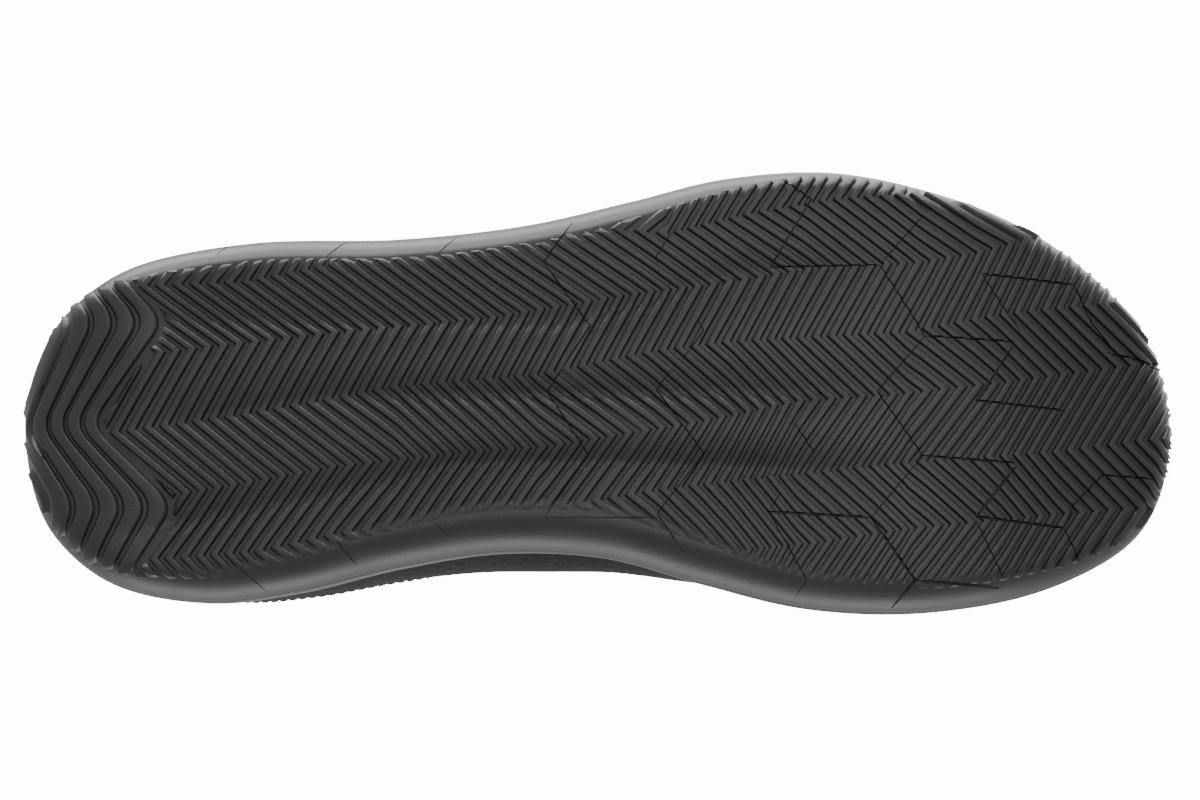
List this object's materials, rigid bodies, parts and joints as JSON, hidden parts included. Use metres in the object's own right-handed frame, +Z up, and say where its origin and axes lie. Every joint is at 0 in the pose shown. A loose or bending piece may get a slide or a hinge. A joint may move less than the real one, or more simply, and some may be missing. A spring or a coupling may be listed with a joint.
{
  "type": "court shoe",
  "caption": "Low lace-up court shoe for the right foot with a herringbone rubber outsole, padded collar, toe guard and removable sockliner.",
  "frame": {"origin": "on the ground, under the middle of the sole's length and width", "axes": "+Y from the toe to the heel, +Z up, +X to the medial side of the foot; the toe points along -Y"},
  "size_m": [0.1152, 0.3, 0.1165],
  "materials": {
    "rubber": "satin, fine herringbone tread",
    "midsole_foam": "smooth moulded foam, satin",
    "cushion_foam": "soft matt foam",
    "soft_foam": "open soft foam, matt",
    "stiffener": "moulded sheet, matt",
    "board": "non-woven board, matt",
    "lining": "knitted lining, matt",
    "knit": "dense knitted textile, matt",
    "overlay": "thin fused film, satin",
    "guard": "abrasion film with fine texture",
    "clip": "moulded, satin",
    "webbing": "woven tape, matt"
  },
  "bodies": {
    "shoe": {"outsole": "rubber", "midsole": "midsole_foam", "shank_plate": "stiffener", "heel_cushion": "cushion_foam", "strobel_board": "board", "collar_lining": "lining", "collar_foam": "soft_foam", "heel_counter": "stiffener", "medial_quarter_foam": "soft_foam", "lateral_quarter_foam": "soft_foam", "medial_quarter": "knit", "lateral_quarter": "knit", "medial_eyestay": "overlay", "lateral_eyestay": "overlay", "heel_clip": "clip", "heel_tab": "webbing", "vamp": "knit", "vamp_lining": "lining", "toe_puff": "stiffener", "vamp_foam": "soft_foam", "toe_guard": "guard", "lace": "webbing", "eyelet_medial_1": "clip", "eyelet_medial_2": "clip", "eyelet_medial_3": "clip", "eyelet_medial_4": "clip", "eyelet_medial_5": "clip", "eyelet_medial_6": "clip", "eyelet_lateral_1": "clip", "eyelet_lateral_2": "clip", "eyelet_lateral_3": "clip", "eyelet_lateral_4": "clip", "eyelet_lateral_5": "clip", "eyelet_lateral_6": "clip", "tongue_anchor": "webbing"},
    "tongue": {"tongue_cover": "knit", "tongue_foam": "soft_foam", "tongue_lining": "lining"},
    "sockliner": {"sockliner_foam": "soft_foam", "sockliner_cover": "lining"}
  },
  "joints": [
    {"name": "tongue_tilt", "type": "hinge", "parent": "shoe", "child": "tongue", "pos_m": [0.002, -0.0635, 0.061], "axis": [1, 0, 0], "range_deg": [-12, 0], "stiffness_Nm_per_rad": 0.1, "springref_deg": 11.46},
    {"name": "sockliner_lift", "type": "hinge", "parent": "shoe", "child": "sockliner", "pos_m": [0.003, -0.1384, 0.0335], "axis": [1, 0, 0], "range_deg": [0, 3]}
  ]
}
